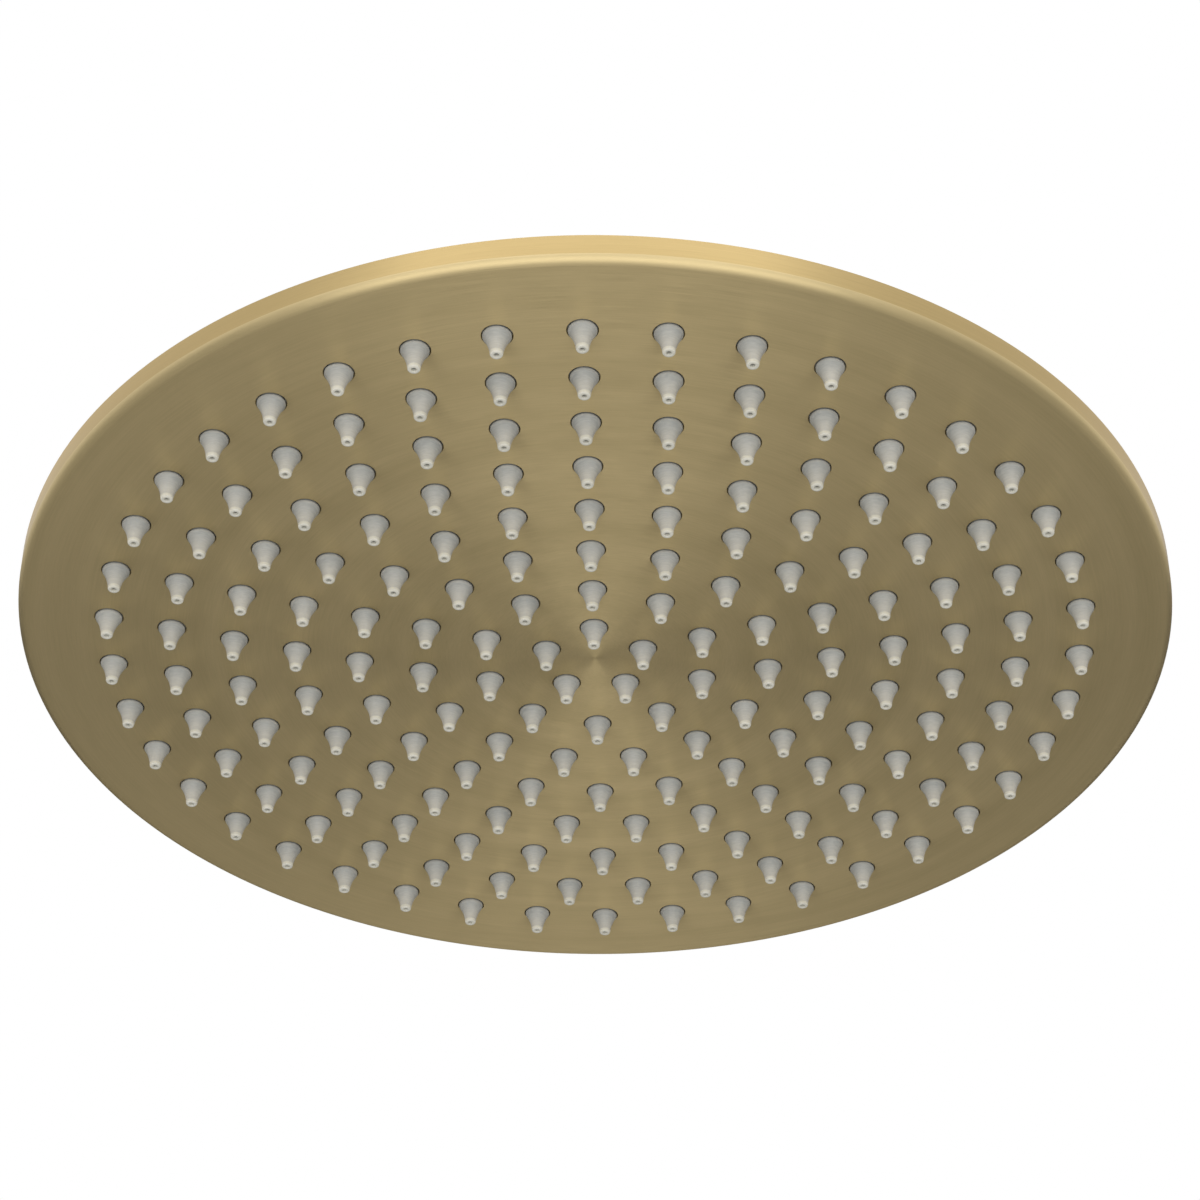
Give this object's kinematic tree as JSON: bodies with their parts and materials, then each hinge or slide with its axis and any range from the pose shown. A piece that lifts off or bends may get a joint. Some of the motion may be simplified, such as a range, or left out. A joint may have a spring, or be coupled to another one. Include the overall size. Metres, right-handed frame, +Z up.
{
  "type": "rain shower head",
  "caption": "Round flat rain shower head with silicone nozzles in rings and a ball joint with a threaded inlet.",
  "frame": {"origin": "middle of the inlet thread's mouth, where the shower arm enters", "axes": "+Z up along the inlet, out of its mouth; the face looks down along -Z; one row of nozzles points along -Y"},
  "size_m": [0.3, 0.3, 0.0725],
  "materials": {
    "brushed_brass": "satin, brushed in circles",
    "turned_brass": "satin, turned",
    "silicone": "matt",
    "rubber": "matt",
    "acetal": "matt",
    "steel": "satin"
  },
  "bodies": {
    "connector": {"inlet_fitting": "turned_brass", "ball_stud": "turned_brass", "stud_seal": "rubber", "flow_restrictor": "acetal", "restrictor_oring": "rubber", "filter_screen": "steel", "inlet_washer": "rubber"},
    "upper_seat": {"upper_ball_seat": "acetal"},
    "lower_seat": {"lower_ball_seat": "acetal"},
    "head": {"face_shell": "brushed_brass", "nozzle_mat": "silicone", "spreader_plate": "acetal", "perimeter_seal": "rubber", "back_cover": "brushed_brass", "cover_screws": "steel", "ball_socket": "turned_brass", "ball_oring": "rubber", "retaining_collar": "turned_brass"}
  },
  "joints": [
    {"name": "tilt_x", "type": "hinge", "parent": "connector", "child": "upper_seat", "pos_m": [0, 0, -0.04511], "axis": [1, 0, 0], "range_deg": [-10, 10]},
    {"name": "tilt_y", "type": "hinge", "parent": "upper_seat", "child": "lower_seat", "pos_m": [0, 0, -0.04511], "axis": [0, 1, 0], "range_deg": [-10, 10]},
    {"name": "spin", "type": "hinge", "parent": "lower_seat", "child": "head", "pos_m": [0, 0, -0.04511], "axis": [0, 0, 1], "continuous": true}
  ]
}
